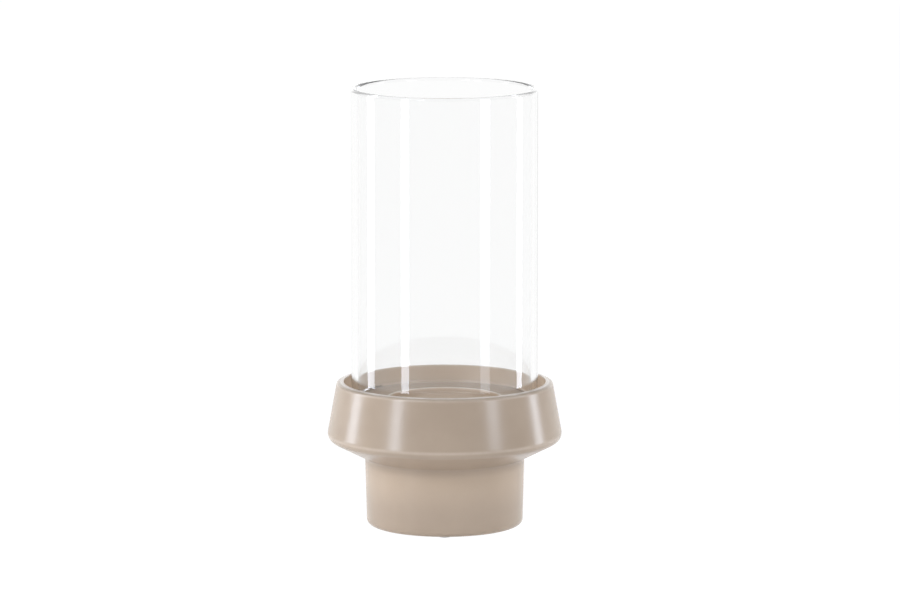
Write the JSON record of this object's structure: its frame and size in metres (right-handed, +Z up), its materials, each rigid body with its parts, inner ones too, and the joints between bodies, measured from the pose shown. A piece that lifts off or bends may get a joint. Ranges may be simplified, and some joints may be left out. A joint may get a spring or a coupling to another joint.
{
  "type": "hurricane candle lantern",
  "caption": "Round glazed ceramic candle base on a narrower foot, with a sunk tray and candle recess, and an open clear glass chimney that lifts out of the tray.",
  "frame": {"origin": "on the lantern's axis, at the level that its three pads stand on", "axes": "+Z up along the lantern's axis; -Y towards the viewer, where one of the three pads is; +X to the viewer's right"},
  "size_m": [0.1506, 0.1506, 0.2833],
  "materials": {
    "taupe_glaze": "satin taupe glaze",
    "clear_glass": "clear, fire-polished rims",
    "clear_silicone": "translucent soft pad"
  },
  "bodies": {
    "base": {"ceramic_base": "taupe_glaze", "foot_pad_front": "clear_silicone", "foot_pad_right": "clear_silicone", "foot_pad_left": "clear_silicone"},
    "chimney": {"glass_chimney": "clear_glass"}
  },
  "joints": [
    {"name": "chimney_lift", "type": "slide", "parent": "base", "child": "chimney", "axis": [0, 0, 1], "range_m": [0, 0.12]}
  ]
}
